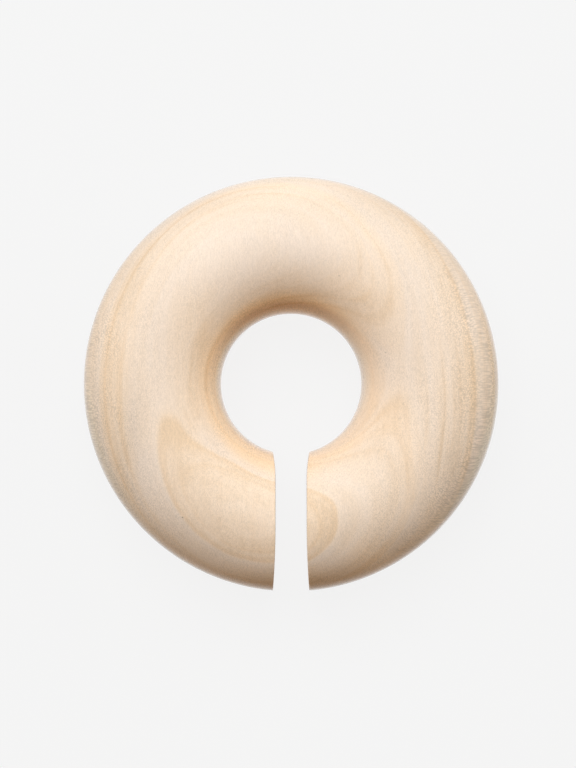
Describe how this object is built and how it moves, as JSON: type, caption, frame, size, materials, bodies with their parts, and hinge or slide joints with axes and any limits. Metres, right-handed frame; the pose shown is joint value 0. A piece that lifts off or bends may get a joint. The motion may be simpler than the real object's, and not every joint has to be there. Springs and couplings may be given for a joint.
{
  "type": "wooden ring hanger plug for a stretched ear lobe",
  "caption": "Fat round ring turned from pale wood, with a narrow parallel slot through one side, worn hanging through a stretched ear lobe.",
  "frame": {"origin": "on the ring's axis, on the surface that the ring lies on", "axes": "+Z along the ring's axis, upwards; -Y out through the middle of the slot; +X across the slot, which is the direction of the tube at the lobe seat"},
  "size_m": [0.0574, 0.0573, 0.019],
  "materials": {
    "wood": "pale close-grained hardwood, sanded fine and lightly waxed to a satin sheen"
  },
  "bodies": {
    "root": {"hanger_ring": "wood"}
  },
  "joints": []
}
